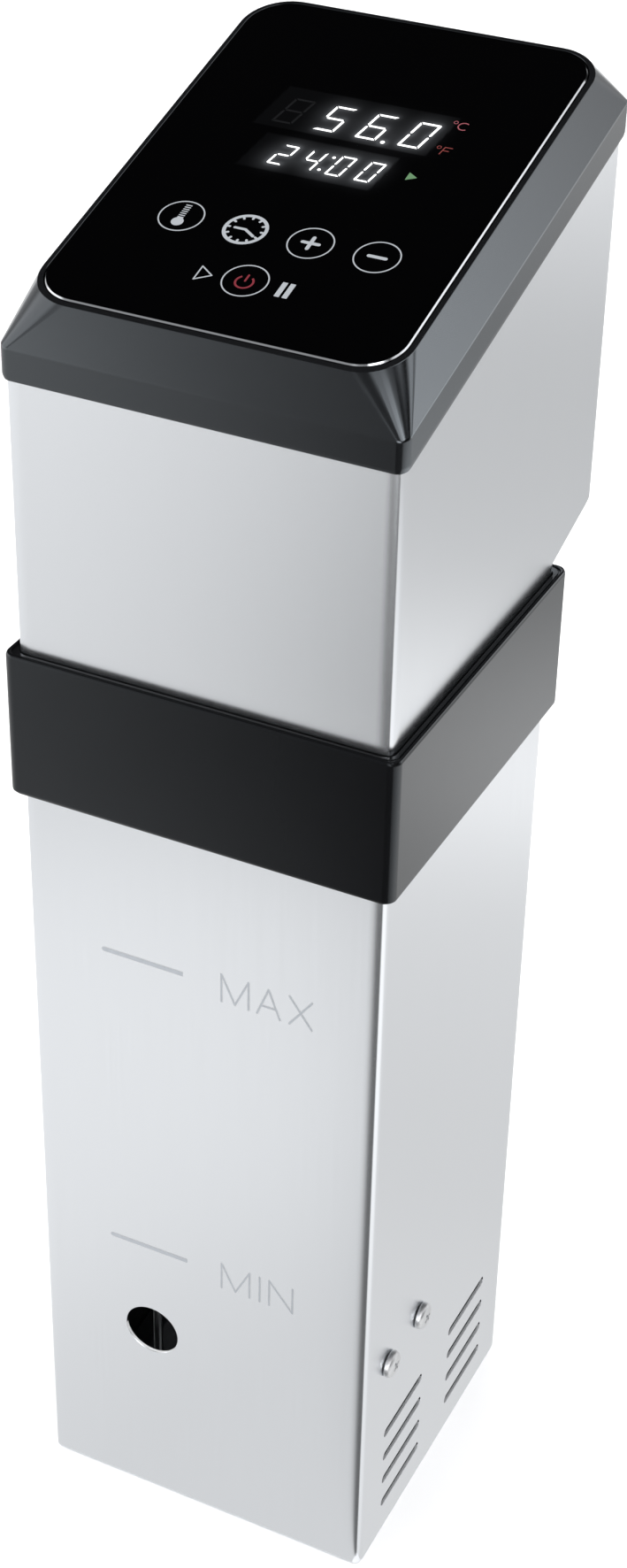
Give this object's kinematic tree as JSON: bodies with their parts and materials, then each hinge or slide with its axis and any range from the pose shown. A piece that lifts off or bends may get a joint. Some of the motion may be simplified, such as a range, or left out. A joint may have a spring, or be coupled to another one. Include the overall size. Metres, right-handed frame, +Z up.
{
  "type": "sous vide circulator",
  "caption": "Square steel immersion tube with a pump, heater and probes inside, a black collar, a steel head with a sloping glass touch panel, and a screw clamp for a pot's wall.",
  "frame": {"origin": "centre of the immersion tube's underside, on the surface that the part stands on", "axes": "+Z up along the tube, +X to the user's right, -Y to the front face with the level marks"},
  "size_m": [0.1068, 0.1634, 0.4076],
  "materials": {
    "steel": "satin stainless sheet",
    "zinc_plated_steel": "bright zinc plate",
    "brass": "turned",
    "copper_windings": "enamelled copper and core plates",
    "aluminium": "mill finish",
    "gloss_black": "glossy moulded plastic",
    "matt_black": "fine texture",
    "glass": "black back-printed glass with a polished edge",
    "rubber": "matt",
    "silicone": "matt",
    "circuit_board": "solder mask",
    "white_plastic": "plain moulded",
    "relay_blue": "plain moulded"
  },
  "bodies": {
    "housing": {"bottom_plate": "steel", "bracket_screw_left_1": "zinc_plated_steel", "bracket_screw_left_2": "zinc_plated_steel", "bracket_screw_right_1": "zinc_plated_steel", "bracket_screw_right_2": "zinc_plated_steel", "bulkhead_gasket": "silicone", "bulkhead_plate": "steel", "buzzer": "matt_black", "cable_gland": "rubber", "clamp_bracket": "steel", "clamp_bracket_screw_1": "zinc_plated_steel", "clamp_bracket_screw_2": "zinc_plated_steel", "clamp_nut": "brass", "collar": "gloss_black", "electronics_chassis": "aluminium", "gland_locknut": "matt_black", "glass_panel": "glass", "head_bezel": "gloss_black", "head_shell": "steel", "heater_element": "steel", "heater_fitting_1": "brass", "heater_fitting_2": "brass", "heatsink": "aluminium", "indicator_lamps": "white_plastic", "level_probe_1": "steel", "level_probe_2": "steel", "lower_bush": "white_plastic", "lower_sleeve": "steel", "motor_bearing_1": "steel", "motor_bearing_2": "steel", "motor_can": "zinc_plated_steel", "motor_end_cap": "matt_black", "motor_magnets": "matt_black", "motor_plate": "aluminium", "motor_post_1": "brass", "motor_post_2": "brass", "motor_post_3": "brass", "motor_post_4": "brass", "power_board": "circuit_board", "pump_bracket": "steel", "relay": "relay_blue", "ribbon_cable": "white_plastic", "shaft_seal": "rubber", "temperature_display": "white_plastic", "temperature_probe": "steel", "terminal_block": "white_plastic", "thermal_cutout": "matt_black", "timer_display": "white_plastic", "touch_board": "circuit_board", "touch_pads": "rubber", "transformer": "copper_windings"},
    "pump_rotor": {"pump_shaft": "steel", "impeller": "matt_black", "impeller_nut": "steel", "shaft_coupling": "brass", "motor_rotor": "copper_windings", "cooling_fan": "white_plastic"},
    "clamp_pad": {"clamp_pad": "rubber"},
    "clamp_spindle": {"clamp_screw": "steel", "clamp_knob": "matt_black"}
  },
  "joints": [
    {"name": "pump_spin", "type": "hinge", "parent": "housing", "child": "pump_rotor", "pos_m": [0, -0.0245, 0.15], "axis": [0, 0, 1], "continuous": true},
    {"name": "clamp_travel", "type": "slide", "parent": "housing", "child": "clamp_pad", "axis": [0, 1, 0], "range_m": [-0.006, 0.014]},
    {"name": "clamp_turn", "type": "hinge", "parent": "clamp_pad", "child": "clamp_spindle", "pos_m": [0, 0.08, 0.211], "axis": [0, 1, 0], "range_deg": [-1080, 2520]}
  ],
  "couplings": [
    {"joint": "clamp_turn", "follows": "clamp_travel", "rad_per_m": 3141.6}
  ]
}
